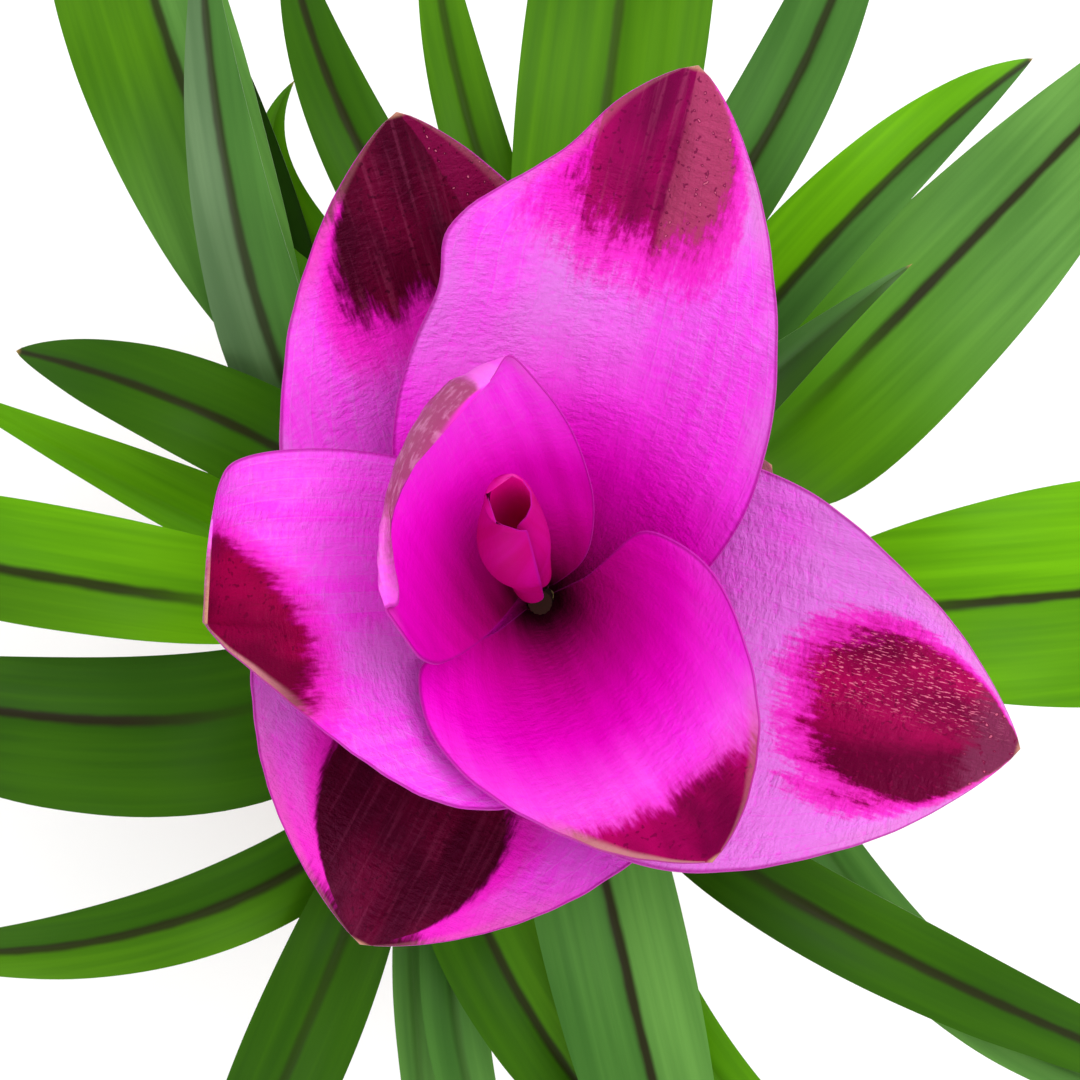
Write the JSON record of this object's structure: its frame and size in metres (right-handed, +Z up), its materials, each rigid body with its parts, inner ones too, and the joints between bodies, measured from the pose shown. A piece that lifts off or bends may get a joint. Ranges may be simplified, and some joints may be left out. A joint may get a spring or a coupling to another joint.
{
  "type": "potted siam tulip plant",
  "caption": "Potted siam tulip: a pink bracted flower head above a whorl of long arching green leaves, standing in soil in a plain round clay pot.",
  "frame": {"origin": "centre of the pot's flat underside, on the surface it stands on", "axes": "+Z up along the flower stalk; seen from above, +X is to the right and +Y up the page of the picture"},
  "size_m": [0.3585, 0.3326, 0.3913],
  "materials": {
    "clay": "matte unglazed clay",
    "soil": "matte crumbly potting soil",
    "sheath": "satin, fine ribs",
    "leaf": "satin, dark midrib",
    "flower_stalk": "satin",
    "green_bract": "satin, pink edge",
    "pink_bract": "satin, veined, with maroon tips"
  },
  "bodies": {
    "root": {"coma_bract_1": "pink_bract", "coma_bract_2": "pink_bract", "coma_bract_3": "pink_bract", "coma_bract_4": "pink_bract", "coma_bract_5": "pink_bract", "coma_bract_6": "pink_bract", "coma_bract_7": "pink_bract", "coma_bract_8": "pink_bract", "coma_bract_9": "pink_bract", "fertile_bract_1": "green_bract", "fertile_bract_2": "green_bract", "fertile_bract_3": "green_bract", "fertile_bract_4": "green_bract", "fertile_bract_5": "green_bract", "fertile_bract_6": "green_bract", "fertile_bract_7": "green_bract", "fertile_bract_8": "green_bract", "leaf_a": "leaf", "leaf_b": "leaf", "leaf_c": "leaf", "leaf_d": "leaf", "leaf_e": "leaf", "leaf_f": "leaf", "leaf_g": "leaf", "leaf_h": "leaf", "leaf_i": "leaf", "leaf_j": "leaf", "leaf_k": "leaf", "leaf_l": "leaf", "leaf_m": "leaf", "leaf_n": "leaf", "leaf_o": "leaf", "leaf_p": "leaf", "leaf_q": "leaf", "leaf_r": "leaf", "leaf_s": "leaf", "leaf_t": "leaf", "leaf_u": "leaf", "leaf_v": "leaf", "leaf_w": "leaf", "leaf_x": "leaf", "leaf_y": "leaf", "pot": "clay", "scape": "flower_stalk", "shoot_centre": "sheath", "shoot_left": "sheath", "shoot_lower_left": "sheath", "shoot_lower_right": "sheath", "shoot_right": "sheath", "shoot_top": "sheath", "shoot_upper_left": "sheath", "shoot_upper_right": "sheath", "soil": "soil"}
  },
  "joints": []
}
